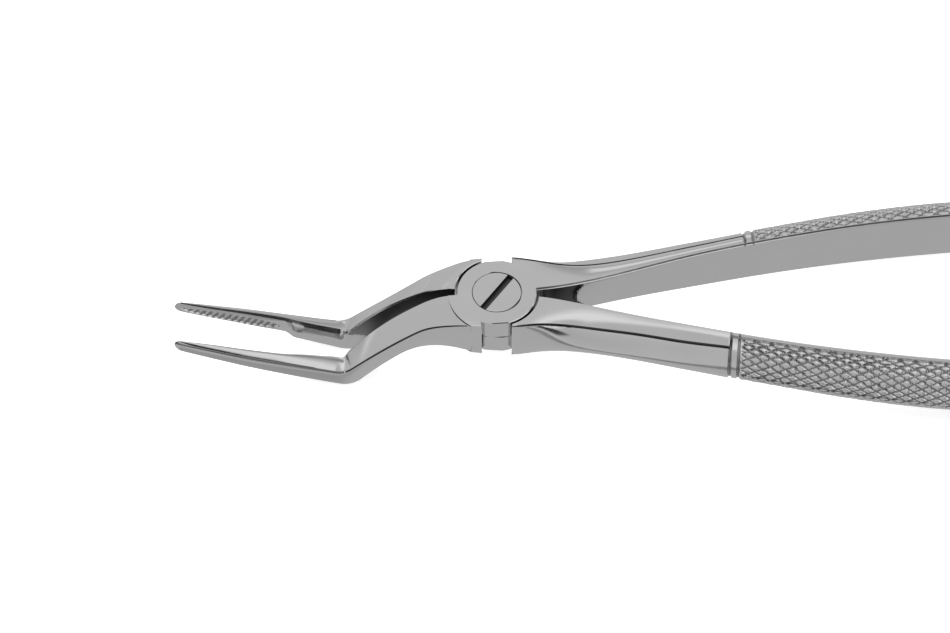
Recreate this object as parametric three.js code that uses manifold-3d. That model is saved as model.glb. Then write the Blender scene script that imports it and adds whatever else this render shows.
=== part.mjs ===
// Dental extraction forceps for root fragments: two crossed steel halves on a slotted joint screw.
//
// Each half is one forging: a long tapered beak, a cranked shank, a half-thickness joint plate and a
// handle. The beaks and handles of the two halves cross at the joint, so squeezing the handles closes
// the beaks. The front half carries the plate under the screw head, the rear half the plate that the
// screw threads into.
//
// Frame, in millimetres: +X towards the handles, +Z out of the screw head along the pivot axis, and the
// origin on the pivot axis at the flat back face of the joint. Each half is drawn as it stands with the
// beaks closed, with Z measured from the joint's middle plane, and is then turned by half of the rest
// opening.

import * as THREE from "three";
import { mergeVertices } from "three/addons/utils/BufferGeometryUtils.js";
import Module from "manifold-3d";

const wasm = await Module();
wasm.setup();

// ---------------------------------------------------------------- driving dimensions

const REST_OPENING_DEG = 8.2; // angle between the halves at rest; the beaks meet at 0

const JOINT_THICKNESS = 8.4;
const PLATE_RADIUS = 7.35; // joint plate of each half
const PLATE_FLAT = 7.2; // half width across the plate's two side flats
const RECESS_RADIUS = 7.75; // pocket in each half that the other half's plate turns in
const PLATE_GAP = 0.12; // between the two plates
const SHOULDER_X = 3.3; // shoulders stand this far from the pivot and stop the opening

const SCREW = {
  headRadius: 4.5,
  headHeight: 1.9,
  shankRadius: 3.0,
  clearance: 0.1, // radial, round the shank and the head
  slotWidth: 1.05,
  slotDepth: 1.1,
  slotAngleDeg: 55,
};

const TIP_X = -59.6;
const TIP_ROUND = 1.3; // length of the rounded tip
const BEND_X = -28.5; // crease between beak and shank, on the upper face
const STEP_X = -39.4; // the hollow of the serrated face is deepest here
const STEP_RAMP = 2.2; // from there up to the stop face
const HOLLOW_DEPTH = 0.95;
const FACE_CLEARANCE = 0.03; // of each beak from the middle plane when closed

const HANDLE_END_X = 112;
const HANDLE_ROUND = 4.5; // length of the rounded handle end
const REAR_GRIP_X = 45.6; // start of the knurled grip on the rear half
const FRONT_GRIP_X = 48.3; // and on the front half
const RING_GROOVES = [-1.95, -0.35]; // the two ring grooves, measured from the grip's start
const GROOVE_HALF_WIDTH = 0.5;
const GROOVE_DEPTH = 0.4;
const GRIP_BLEND = 6; // length over which the neck's section turns into the grip's

const EDGE_CHAMFER = 0.3; // along the edges of the inner face
const SIDE_BULGE = 0.35; // of the upper and lower sides between inner edge and outer arc

// ---------------------------------------------------------------- curves over x

// Height along straight lines through the points, each corner rounded with its own radius.
function roundedPath(points, radii) {
  const pieces = [];
  let from = points[0];
  for (let i = 1; i < points.length - 1; i++) {
    const [a, b, c] = [points[i - 1], points[i], points[i + 1]].map((p) => new THREE.Vector2(...p));
    const into = b.clone().sub(a).normalize();
    const out = c.clone().sub(b).normalize();
    const turn = Math.atan2(into.cross(out), into.dot(out));
    const reach = radii[i - 1] * Math.tan(Math.abs(turn) / 2);
    const start = b.clone().addScaledVector(into, -reach);
    const end = b.clone().addScaledVector(out, reach);
    const side = Math.sign(turn) || 1;
    const centre = new THREE.Vector2(-into.y, into.x).multiplyScalar(side * radii[i - 1]).add(start);
    pieces.push({ from, to: [start.x, start.y] });
    pieces.push({ centre, radius: radii[i - 1], side, endX: end.x });
    from = [end.x, end.y];
  }
  pieces.push({ from, to: points[points.length - 1] });
  return (x) => {
    const piece = pieces.find((p) => x <= (p.to ? p.to[0] : p.endX)) ?? pieces[pieces.length - 1];
    if (piece.to) {
      const t = (x - piece.from[0]) / (piece.to[0] - piece.from[0]);
      return THREE.MathUtils.lerp(piece.from[1], piece.to[1], t);
    }
    const dx = x - piece.centre.x;
    return piece.centre.y - piece.side * Math.sqrt(Math.max(piece.radius ** 2 - dx ** 2, 0));
  };
}

// Natural cubic spline through [x, value] points, in order of x.
function spline(points) {
  const n = points.length;
  const x = points.map((p) => p[0]);
  const y = points.map((p) => p[1]);
  const bend = new Array(n).fill(0);
  const sweep = new Array(n).fill(0);
  for (let i = 1; i < n - 1; i++) {
    const share = (x[i] - x[i - 1]) / (x[i + 1] - x[i - 1]);
    const p = share * bend[i - 1] + 2;
    const slopeChange = (y[i + 1] - y[i]) / (x[i + 1] - x[i]) - (y[i] - y[i - 1]) / (x[i] - x[i - 1]);
    bend[i] = (share - 1) / p;
    sweep[i] = ((6 * slopeChange) / (x[i + 1] - x[i - 1]) - share * sweep[i - 1]) / p;
  }
  for (let i = n - 2; i > 0; i--) bend[i] = bend[i] * bend[i + 1] + sweep[i];
  bend[0] = 0;
  return (at) => {
    let i = 0;
    while (i < n - 2 && at > x[i + 1]) i++;
    const h = x[i + 1] - x[i];
    const a = (x[i + 1] - at) / h;
    const b = (at - x[i]) / h;
    const curve = (((a ** 3 - a) * bend[i] + (b ** 3 - b) * bend[i + 1]) * h ** 2) / 6;
    return a * y[i] + b * y[i + 1] + curve;
  };
}

const smooth = (t) => THREE.MathUtils.smoothstep(t, 0, 1);
const roundOff = (past) => Math.sqrt(1 - THREE.MathUtils.clamp(past, 0, 0.985) ** 2);

// ---------------------------------------------------------------- beak and shank

const half = JOINT_THICKNESS / 2;

const beakTop = roundedPath([[TIP_X, -5.1], [BEND_X, -12.3], [-11.3, half], [0, half]], [0.01, 12.4]);
const beakBottom = roundedPath([[TIP_X, -7.15], [-26.9, -16.65], [-13.6, -half], [0, -half]], [4, 17]);
const upperEdgeDrop = spline([
  [TIP_X, 0.3], [-46, 0.5], [-31, 0.6], [-24, 0.8], [-16, 1], [-9.2, 1.05], [-5.5, 0.4], [-2, 0.1],
]);
const lowerEdgeRise = spline([
  [TIP_X, 0.35], [-46, 0.1], [-31, 0.1], [-27, 0.5], [-24, 1.1], [-18, 1.7], [-13, 1.6], [-8, 1.1],
  [-4, 0.4], [-2, 0.1],
]);
const beakEdge = spline([
  [TIP_X, 0.5], [-53.5, 1.2], [-46, 2.15], [-39, 2.75], [-31, 3.5], [-28, 3.9], [-24, 4.2],
  [-18.4, 4.5], [-14, 5.05], [-9.2, 6.2], [-5, 7.25], [-2, 7.75],
]);
const beakCrown = spline([[TIP_X, 0.15], [-46, 0.5], [-31, 0.6], [-18, 0.45], [-9, 0.35], [-2, 0.1]]);
const shankRelief = spline([[BEND_X, 0.1], [-24, 0.35], [-18.4, 0.6], [-13, 0.4], [-8, 0.1], [0, 0.1]]);

// Distance of the beak's inner face from the middle plane: hollow, step, stop face, shank.
function beakInner(x) {
  if (x > BEND_X) return shankRelief(x);
  const hollow = FACE_CLEARANCE + HOLLOW_DEPTH * Math.pow((x - TIP_X) / (STEP_X - TIP_X), 1.5);
  if (x < STEP_X) return hollow;
  const stop = shankRelief(BEND_X);
  return THREE.MathUtils.lerp(FACE_CLEARANCE + HOLLOW_DEPTH, stop, smooth((x - STEP_X) / STEP_RAMP));
}

function beakSection(x) {
  const round = roundOff((TIP_X + TIP_ROUND - x) / TIP_ROUND);
  const middle = (beakTop(x) + beakBottom(x)) / 2;
  const inner = beakInner(x);
  return {
    x,
    middle,
    inner,
    edge: inner + (beakEdge(x) - inner) * round,
    crown: beakCrown(x) * round,
    innerHalf: (beakTop(x) - middle) * round,
    edgeUp: (beakTop(x) - upperEdgeDrop(x) - middle) * round,
    edgeDown: (middle - beakBottom(x) - lowerEdgeRise(x)) * round,
    bulge: SIDE_BULGE * 0.3 * round,
  };
}

// ---------------------------------------------------------------- handle

const handleInner = spline([
  [0, 0.1], [7.4, 0.12], [12, 0.55], [19, 1.75], [28.5, 3.7], [37.5, 5.4], [46, 6.8], [52, 7.65],
  [62, 8.85], [75, 9.9], [90, 10.4], [101, 10.2], [HANDLE_END_X, 9.5],
]);
const handleInnerHalf = spline([
  [0, 4.2], [8, 4.2], [12, 4.12], [19, 4.05], [26.5, 4.3], [34, 4.75], [41, 5.05], [52, 5.3],
  [65, 5.6], [80, 5.8], [95, 5.8], [HANDLE_END_X, 5.4],
]);
const neckEdge = spline([
  [0, 8.15], [3.3, 7.7], [8, 6.75], [13, 6.05], [20, 6.2], [27, 7], [35, 8.25], [44, 9.45], [52, 10.7],
]);
const neckEdgeHalf = spline([
  [0, 4.15], [5, 4.15], [8, 4], [11, 3.5], [14, 3.05], [20, 2.7], [27, 2.9], [35, 3.2], [44, 3.8],
  [52, 4.2],
]);
const neckCrown = spline([
  [0, 0.1], [4, 0.45], [8, 1.4], [12, 2.4], [16, 3], [20, 3.2], [35, 3.15], [52, 3.2],
]);

// The grip's section is a plain D: the arc starts close to the inner face.
const GRIP_EDGE_RISE = 1.0;
const GRIP_EDGE_DROP = 0.9;
const gripThickness = spline([[40, 6.2], [52, 6.2], [75, 6.7], [95, 6.5], [HANDLE_END_X, 5.8]]);

function handleSection(x, gripX) {
  const round = roundOff((x - HANDLE_END_X + HANDLE_ROUND) / HANDLE_ROUND);
  const grip = smooth((x - gripX - RING_GROOVES[0] + GRIP_BLEND) / GRIP_BLEND);
  const mix = (neck, full) => THREE.MathUtils.lerp(neck, full, grip);
  const inner = handleInner(x);
  const innerHalf = handleInnerHalf(x);
  const groove = RING_GROOVES.reduce((cut, at) => {
    const away = Math.abs(x - gripX - at) / GROOVE_HALF_WIDTH;
    return cut + GROOVE_DEPTH * Math.sqrt(Math.max(1 - away ** 2, 0));
  }, 0);
  const edge = mix(neckEdge(x) - inner, GRIP_EDGE_RISE);
  const crown = mix(neckCrown(x), gripThickness(x) - GRIP_EDGE_RISE);
  const edgeHalf = mix(neckEdgeHalf(x), innerHalf - GRIP_EDGE_DROP) - groove * grip * 0.6;
  const centre = inner + gripThickness(x) / 2;
  return {
    x,
    middle: 0,
    inner: THREE.MathUtils.lerp(centre, inner, round),
    edge: THREE.MathUtils.lerp(centre, inner + edge, round),
    crown: (crown - groove) * round,
    innerHalf: innerHalf * round,
    edgeUp: edgeHalf * round,
    edgeDown: edgeHalf * round,
    bulge: SIDE_BULGE * mix(1, 0.2) * smooth((x - 8) / 8) * round,
  };
}

// ---------------------------------------------------------------- lofting

const SIDE_STEPS = 3;
const ARC_STEPS = 8;

// One straight or bulging side from the inner face's edge to the outer arc, on the upper side with
// direction +1 and on the lower side with -1.
function sideLine(s, chamfer, edgeHeight, direction) {
  const line = [];
  for (let i = 0; i <= SIDE_STEPS; i++) {
    const t = i / SIDE_STEPS;
    const z = THREE.MathUtils.lerp(s.innerHalf, edgeHeight, t) + s.bulge * Math.sin(Math.PI * t);
    line.push([THREE.MathUtils.lerp(s.inner + chamfer, s.edge, t), direction * z]);
  }
  return line;
}

// Closed outline of one section in [y, z], from the inner face over the upper side, round the outer arc
// and back along the lower side.
function outline(s) {
  const chamfer = Math.min(EDGE_CHAMFER, s.innerHalf * 0.3, (s.edge - s.inner) * 0.3);
  const upper = sideLine(s, chamfer, s.edgeUp, 1);
  const lower = sideLine(s, chamfer, s.edgeDown, -1).reverse();
  const arcMiddle = (s.edgeUp - s.edgeDown) / 2;
  const arcHalf = (s.edgeUp + s.edgeDown) / 2;
  const arc = [];
  for (let i = 1; i < ARC_STEPS; i++) {
    const a = Math.PI * (0.5 - i / ARC_STEPS);
    arc.push([s.edge + s.crown * Math.cos(a), arcMiddle + arcHalf * Math.sin(a)]);
  }
  const face = [
    [s.inner, -(s.innerHalf - chamfer)],
    [s.inner, s.innerHalf - chamfer],
  ];
  return [...face, ...upper, ...arc, ...lower].map(([y, z]) => [y, z + s.middle]);
}

// A closed solid through the sections, on the +Y side or, with side -1, on the -Y side.
function loft(sections, side) {
  const rings = sections.map((s) => outline(s).map(([y, z]) => [s.x, side * y, z]));
  const size = rings[0].length;
  const mean = (ring) => [0, 1, 2].map((k) => ring.reduce((sum, p) => sum + p[k], 0) / size);
  const points = [...rings.flat(), mean(rings[0]), mean(rings[rings.length - 1])];
  const [first, last] = [points.length - 2, points.length - 1];
  const faces = [];
  for (let j = 0; j < size; j++) {
    const next = (j + 1) % size;
    for (let i = 0; i + 1 < rings.length; i++) {
      const [a, b, c, d] = [i * size + j, i * size + next, (i + 1) * size + next, (i + 1) * size + j];
      faces.push([a, b, c], [a, c, d]);
    }
    const tail = (rings.length - 1) * size;
    faces.push([first, next, j], [last, tail + j, tail + next]);
  }
  const geometry = new THREE.BufferGeometry();
  geometry.setAttribute("position", new THREE.Float32BufferAttribute(points.flat(), 3));
  geometry.setIndex((side > 0 ? faces.map(([a, b, c]) => [a, c, b]) : faces).flat());
  return solidOf(geometry);
}

// ---------------------------------------------------------------- solids

function solidOf(geometry) {
  const bare = geometry.clone();
  bare.deleteAttribute("normal");
  bare.deleteAttribute("uv");
  const merged = mergeVertices(bare, 1e-4);
  return new wasm.Manifold(
    new wasm.Mesh({
      numProp: 3,
      vertProperties: merged.attributes.position.array,
      triVerts: new Uint32Array(merged.index.array),
    }),
  );
}

function geometryOf(solid) {
  const mesh = solid.getMesh();
  const geometry = new THREE.BufferGeometry();
  geometry.setAttribute("position", new THREE.BufferAttribute(mesh.vertProperties, 3));
  geometry.setIndex(new THREE.BufferAttribute(mesh.triVerts, 1));
  geometry.computeVertexNormals();
  return geometry;
}

// Upright cylinder on the pivot axis between two heights.
function disc(radius, bottom, top, segments = 72) {
  const geometry = new THREE.CylinderGeometry(radius, radius, top - bottom, segments);
  return solidOf(geometry.rotateX(Math.PI / 2).translate(0, 0, (top + bottom) / 2));
}

function block(width, depth, bottom, top) {
  return solidOf(new THREE.BoxGeometry(width, depth, top - bottom).translate(0, 0, (top + bottom) / 2));
}

// ---------------------------------------------------------------- the halves

const BEAK_STATIONS = [
  ...[0, 0.08, 0.25, 0.55, 1].map((t) => TIP_X + t * TIP_ROUND),
  -56, -53, -50, -47, -44, -41.5, STEP_X, STEP_X + STEP_RAMP / 3, STEP_X + STEP_RAMP / 1.5,
  STEP_X + STEP_RAMP, -34, -31,
  BEND_X - 0.6, BEND_X, BEND_X + 0.8, -26.7, -25.6, -24.2, -22.5, -20.5, -18.5, -16.5, -14.8, -13.4,
  -12, -10.7, -9.5, -8.4, -7.3, -6.2, -5, -SHOULDER_X,
];

function handleStations(gripX) {
  const neck = [SHOULDER_X, 4.5, 6, 7.5, 9, 10.5, 12, 13.5, 15.5, 18, 21, 24, 27, 30.5, 34, 37, 39.5];
  const rings = RING_GROOVES.flatMap((at) =>
    [-1, -0.75, 0, 0.75, 1].map((t) => gripX + at + t * GROOVE_HALF_WIDTH),
  );
  const grip = [];
  for (let x = gripX + 3; x < HANDLE_END_X - HANDLE_ROUND; x += 4.5) grip.push(x);
  const end = [0, 0.35, 0.65, 0.87, 0.98].map((t) => HANDLE_END_X - HANDLE_ROUND * (1 - t));
  const all = [...neck, ...rings, ...grip, ...end];
  return all.filter((x, i) => i === 0 || x > all[i - 1] + 1e-6);
}

// side: which side of the middle plane the handle lies on. plate: +1 for the half whose plate is in
// front, under the screw head, and -1 for the rear one.
function makeHalf(side, plate, gripX) {
  const beak = loft(BEAK_STATIONS.map(beakSection), -side);
  const handle = loft(handleStations(gripX).map((x) => handleSection(x, gripX)), side);
  const far = JOINT_THICKNESS;
  const gap = PLATE_GAP / 2;
  const pocket = plate > 0 ? disc(RECESS_RADIUS, -far, gap) : disc(RECESS_RADIUS, -gap, far);
  const round = plate > 0 ? disc(PLATE_RADIUS, gap, half) : disc(PLATE_RADIUS, -half, -gap);
  const flats = block(2 * RECESS_RADIUS, 2 * PLATE_FLAT, -far, far);
  const bore = disc(SCREW.shankRadius + SCREW.clearance, -far, far, 48);
  let solid = beak.add(handle).subtract(pocket).add(round.intersect(flats)).subtract(bore);
  if (plate > 0) {
    const seat = half - SCREW.headHeight - SCREW.clearance;
    solid = solid.subtract(disc(SCREW.headRadius + SCREW.clearance, seat, far, 60));
  }
  return geometryOf(solid);
}

// ---------------------------------------------------------------- the screw

function makeScrew() {
  const head = disc(SCREW.headRadius, half - SCREW.headHeight, half, 60);
  const shank = disc(SCREW.shankRadius, -half, half - SCREW.headHeight + 0.2, 48);
  const slot = block(4 * SCREW.headRadius, SCREW.slotWidth, half - SCREW.slotDepth, half + 1);
  return geometryOf(head.add(shank).subtract(slot.rotate([0, 0, SCREW.slotAngleDeg])));
}

// ---------------------------------------------------------------- the assembly

const polishedSteel = new THREE.MeshStandardMaterial({ color: 0xbcbcbe, metalness: 1, roughness: 0.2 });
const screwSteel = new THREE.MeshStandardMaterial({ color: 0xc2c2c2, metalness: 1, roughness: 0.28 });

const forceps = new THREE.Group();
const joint = new THREE.Group();
joint.position.z = half;
forceps.add(joint);

function place(name, geometry, material, turnDeg) {
  const mesh = new THREE.Mesh(geometry, material);
  mesh.name = name;
  mesh.rotation.z = THREE.MathUtils.degToRad(turnDeg);
  joint.add(mesh);
}

place("front_half", makeHalf(1, 1, FRONT_GRIP_X), polishedSteel, REST_OPENING_DEG / 2);
place("rear_half", makeHalf(-1, -1, REAR_GRIP_X), polishedSteel, -REST_OPENING_DEG / 2);
place("joint_screw", makeScrew(), screwSteel, 0);

export default forceps;
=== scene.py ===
"""Dental extraction forceps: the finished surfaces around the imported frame.

Both halves are lofted again with their fillets, serrated beaks, ring grooves and diamond knurl, and the
joint screw gets its slot and chamfers. Lengths are in millimetres until a mesh is made, then in metres.
A half is drawn closed, with its handle on +Y and Z measured from the joint's middle plane, and is then
mirrored and turned to where it stands at rest.
"""

import math

import bpy
import numpy as np
from mathutils import Matrix, Vector


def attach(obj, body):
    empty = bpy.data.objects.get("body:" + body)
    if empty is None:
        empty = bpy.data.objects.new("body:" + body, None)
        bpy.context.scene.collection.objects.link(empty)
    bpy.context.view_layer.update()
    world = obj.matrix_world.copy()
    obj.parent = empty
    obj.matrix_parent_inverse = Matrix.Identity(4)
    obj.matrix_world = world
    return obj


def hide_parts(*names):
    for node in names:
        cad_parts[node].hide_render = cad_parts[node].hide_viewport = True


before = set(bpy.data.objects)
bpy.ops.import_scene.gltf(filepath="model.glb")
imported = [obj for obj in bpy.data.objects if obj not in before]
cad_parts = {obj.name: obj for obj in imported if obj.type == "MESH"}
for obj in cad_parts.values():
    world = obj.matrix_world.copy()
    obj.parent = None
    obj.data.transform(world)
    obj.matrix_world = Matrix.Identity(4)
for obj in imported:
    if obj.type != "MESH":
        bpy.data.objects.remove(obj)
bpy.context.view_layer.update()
MM = 0.001

# ---------------------------------------------------------------- dimensions

REST_OPENING = math.radians(8.2)
HALF_JOINT = 4.2
PLATE_RADIUS = 7.35
PLATE_FLAT = 7.2
RECESS_RADIUS = 7.75
PLATE_GAP = 0.12
SHOULDER_X = 3.3
LAND_RADIUS = 9.0
RIM_CHAMFER = 0.14

HEAD_RADIUS = 4.48
HEAD_HEIGHT = 1.9
SEAT_RADIUS = 4.61
SEAT_SHIFT = 0.06
SHANK_RADIUS = 3.0
BORE_CLEARANCE = 0.1
SLOT_WIDTH = 1.25
SLOT_DEPTH = 1.1
SLOT_ANGLE = math.radians(55)

TIP_X = -59.5
TIP_ROUND = 1.3
BEND_X = -28.5
STEP_X = -39.4
STEP_RAMP = 2.2
SHANK_RELIEF = 0.1
CHAMFER_SLOPE = 1.12
FACET_SLOPE = 3.6
FACET_MIN = 0.02
BEAK_GROOVE = 0.13
SHANK_GROOVE = 0.3
FRONT_CREASE, REAR_CREASE = 1.0, 0.45  # share of the shank groove's depth
# Lowest height of the painted shade on the shanks' inner faces, beyond the bend.
INNER_SHADE_LOW_Z = -11.8
HOLLOW_DEPTH = 0.95
FACE_CLEARANCE = 0.03
TEETH_START_X = -58.4
TEETH_END_X = -40.2
TOOTH_PITCH = 1.18
TOOTH_DEPTH = 0.2
TOOTH_LEAN = 0.6
SCOOP_DEPTH = 0.2
SCOOP_SHARE = 0.37  # of the inner face's height, from the scoop's middle to its edge
SCOOP_ROUNDNESS = 2.6

HANDLE_END_X = 111.9
HANDLE_ROUND = 4.5
REAR_GRIP_X = 45.6
FRONT_GRIP_X = 48.3
GRIP_END_X = 106.0
RING_GROOVES = ((-1.95, 0.34, 0.38), (-0.35, 0.28, 0.38))
KNURL_LENGTH = 2.8
KNURL_WIDTH = 1.5
KNURL_DEPTH = 0.34
KNURL_MARGIN = 0.95
GRIP_EDGE_RISE = 1.0
GRIP_EDGE_DROP = 0.9
NECK_END_X = 52
LAP_END_X = 7.2
RELIEF_END_X = 14.6
RELIEF_DEPTH = 0.55


# ---------------------------------------------------------------- curves over x


def spline(points):
    """Natural cubic spline through (x, value) points, as a function of x."""
    px, py = np.array(points, float).T
    n = len(px)
    h = np.diff(px)
    system = np.eye(n)
    right = np.zeros(n)
    for i in range(1, n - 1):
        system[i, i - 1 : i + 2] = h[i - 1], 2 * (h[i - 1] + h[i]), h[i]
        right[i] = 6 * ((py[i + 1] - py[i]) / h[i] - (py[i] - py[i - 1]) / h[i - 1])
    bend = np.linalg.solve(system, right)

    def value(x):
        x = np.asarray(x, float)
        i = np.clip(np.searchsorted(px, x) - 1, 0, n - 2)
        a = (px[i + 1] - x) / h[i]
        b = (x - px[i]) / h[i]
        curve = ((a**3 - a) * bend[i] + (b**3 - b) * bend[i + 1]) * h[i] ** 2 / 6
        return a * py[i] + b * py[i + 1] + curve

    return value


def rounded_path(points, radii):
    """Height over x along straight lines through the points, each corner rounded by its radius."""
    points = np.array(points, float)
    lines = [(points[i], points[i + 1]) for i in range(len(points) - 1)]
    arcs = []
    for i, radius in enumerate(radii, 1):
        into = points[i] - points[i - 1]
        out = points[i + 1] - points[i]
        into, out = into / np.linalg.norm(into), out / np.linalg.norm(out)
        cross = into[0] * out[1] - into[1] * out[0]
        turn = math.atan2(cross, into @ out)
        reach = radius * math.tan(abs(turn) / 2)
        side = math.copysign(1, turn)
        start = points[i] - into * reach
        centre = start + side * radius * np.array([-into[1], into[0]])
        arcs.append((start[0], (points[i] + out * reach)[0], centre, radius, side))

    def value(x):
        x = np.asarray(x, float)
        height = np.zeros_like(x)
        for a, b in lines:
            on = (x >= a[0]) & (x <= b[0])
            height = np.where(on, a[1] + (b[1] - a[1]) * (x - a[0]) / (b[0] - a[0]), height)
        for low, high, centre, radius, side in arcs:
            on = (x >= low) & (x <= high)
            drop = np.sqrt(np.maximum(radius**2 - (x - centre[0]) ** 2, 0))
            height = np.where(on, centre[1] - side * drop, height)
        return height

    return value


def smooth(t):
    t = np.clip(t, 0, 1)
    return t * t * (3 - 2 * t)


def mix(a, b, t):
    return a + (b - a) * t


# ---------------------------------------------------------------- beak and shank

# Seen from the side: the top at its inner edge and at its outer edge, and the bottom.
beak_top = rounded_path(
    [[-61, -4.3], [-28.1, -11.8], [-21.3, -2.6], [-11.1, HALF_JOINT], [0, HALF_JOINT]],
    [0.4, 45, 12],
)
outer_top = rounded_path(
    [[-61, -4.45], [BEND_X, -12.0], [-11.3, HALF_JOINT], [0, HALF_JOINT]], [3.2, 12.4],
)
beak_bottom = rounded_path(
    [[-61, -6.85], [-26.9, -16.62], [-13.6, -HALF_JOINT], [0, -HALF_JOINT]], [4, 17],
)
upper_edge_drop = spline(
    [[TIP_X, 0.4], [-46, 0.7], [-31, 0.85], [-24, 0.8], [-16, 1], [-9.2, 1.05], [-5.5, 0.4], [-2, 0.1]]
)
lower_edge_rise = spline(
    [[TIP_X, 0.35], [-46, 0.1], [-31, 0.1], [-27, 0.5], [-24, 1.1], [-18, 1.7], [-13, 1.6], [-8, 1.1],
     [-4, 0.4], [-2, 0.1]]
)
beak_edge = spline(
    [[TIP_X, 0.5], [-56, 1.05], [-52, 1.6], [-47.4, 2.2], [-42.3, 2.7], [-36.4, 3.2], [-31, 3.7],
     [-28, 4.0], [-24, 4.15], [-18.4, 4.5], [-14, 5.05], [-9.2, 6.2], [-5, 7.25], [-2, 7.75]]
)
beak_crown = spline([[TIP_X, 0.15], [-46, 0.32], [-31, 0.42], [-18, 0.45], [-9, 0.35], [-2, 0.1]])
# How far the top's inner edge lies from the middle plane, and the height of the dark chamfer there.
top_inner_edge = spline(
    [[TIP_X, 0.2], [-52, 0.62], [-47.4, 0.98], [-42.3, 1.29], [-39, 1.38], [-36.4, 1.25], [-32.5, 1.2],
     [-29.3, 1.25], [-28.6, 1.15], [-27.6, 0.5], [-26.5, 0.36], [-20, 0.36], [-14, 0.3], [-10, 0.16],
     [0, 0.16]]
)
chamfer_height = spline(
    [[TIP_X, 0.15], [-52, 0.3], [-47.4, 0.34], [-42.3, 0.42], [-39, 0.5], [-36.4, 0.66], [-32.5, 0.72],
     [-29, 0.7], [-27.5, 0.36], [-26, 0.3], [-14, 0.24], [-10, 0.06], [0, 0.06]]
)


def beak_inner(x):
    """Distance of the inner face from the middle plane: hollow, step, stop face, shank."""
    along = np.clip((x - TIP_X) / (STEP_X - TIP_X), 0, 1)
    hollow = FACE_CLEARANCE + HOLLOW_DEPTH * along**1.5
    step = mix(FACE_CLEARANCE + HOLLOW_DEPTH, SHANK_RELIEF, smooth((x - STEP_X) / STEP_RAMP))
    return np.where(x < STEP_X, hollow, step)


def beak_section(x, crease=1.0):
    """Measures of the beak and shank at stations x; crease is how deep the shank's crease is."""
    on_shank = smooth((x - BEND_X + 1) / 3)
    tip = np.sqrt(1 - np.clip((TIP_X + TIP_ROUND - x) / TIP_ROUND, 0, 0.985) ** 2)
    top, bottom = beak_top(x), beak_bottom(x)
    middle = (outer_top(x) + bottom) / 2
    inner = beak_inner(x)
    shank = smooth((x + 28.4) / 0.8)
    cut_y = np.maximum(top_inner_edge(x) - inner, 0.08)
    cut_z = np.minimum(chamfer_height(x), CHAMFER_SLOPE * (cut_y - FACET_MIN))
    facet = cut_y - cut_z / CHAMFER_SLOPE
    return {
        "middle": middle,
        "inner": inner,
        "edge": inner + (beak_edge(x) - inner) * tip,
        "crown": beak_crown(x) * tip,
        "up": (top - middle) * tip,
        "down": (middle - bottom) * tip,
        "edge_up": (outer_top(x) - upper_edge_drop(x) - middle) * tip,
        "edge_down": (middle - bottom - lower_edge_rise(x)) * tip,
        "cut_y": cut_y * tip,
        "cut_z": cut_z * tip,
        "facet_y": np.maximum(facet, FACET_MIN) * tip,
        "facet_z": np.maximum(facet * FACET_SLOPE, 2 * FACET_MIN) * tip,
        "cut_down": 0.2 * tip,
        "power": mix(1.5, 1.06, shank),
        "groove": mix(BEAK_GROOVE, SHANK_GROOVE * crease, on_shank) * smooth((-4.5 - x) / 3) * tip,
        "tilt": mix(0.8, 0.4, smooth((x - BEND_X) / 4)) * tip,
    }


# ---------------------------------------------------------------- handle

handle_inner = spline(
    [[0, 0.1], [7.4, 0.12], [12, 0.55], [19, 1.75], [28.5, 3.7], [37.5, 5.4], [46, 6.8], [52, 7.65],
     [62, 8.85], [75, 9.9], [90, 10.4], [101, 10.2], [112, 9.5]]
)
handle_half = spline(
    [[0, 4.2], [8, 4.2], [12, 4.12], [19, 4.05], [26.5, 4.3], [34, 4.75], [41, 5.05], [52, 5.3],
     [65, 5.6], [80, 5.78], [95, 5.78], [112, 5.4]]
)
neck_edge = spline(
    [[0, 8.15], [3.3, 7.7], [8, 6.75], [13, 6.05], [20, 6.2], [27, 7], [35, 8.25], [44, 9.45],
     [52, 10.7]]
)
neck_edge_half = spline(
    [[0, 4.15], [5, 4.15], [8, 4], [11, 3.5], [14, 3.05], [20, 2.7], [27, 2.9], [35, 3.2], [44, 3.8],
     [52, 4.2]]
)
neck_crown = spline(
    [[0, 0.1], [4, 0.45], [8, 1.4], [12, 2.4], [16, 3], [20, 3.2], [35, 3.15], [52, 3.2]]
)
grip_thickness = spline([[40, 6.2], [52, 6.2], [75, 6.68], [95, 6.48], [112, 5.8]])


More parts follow.
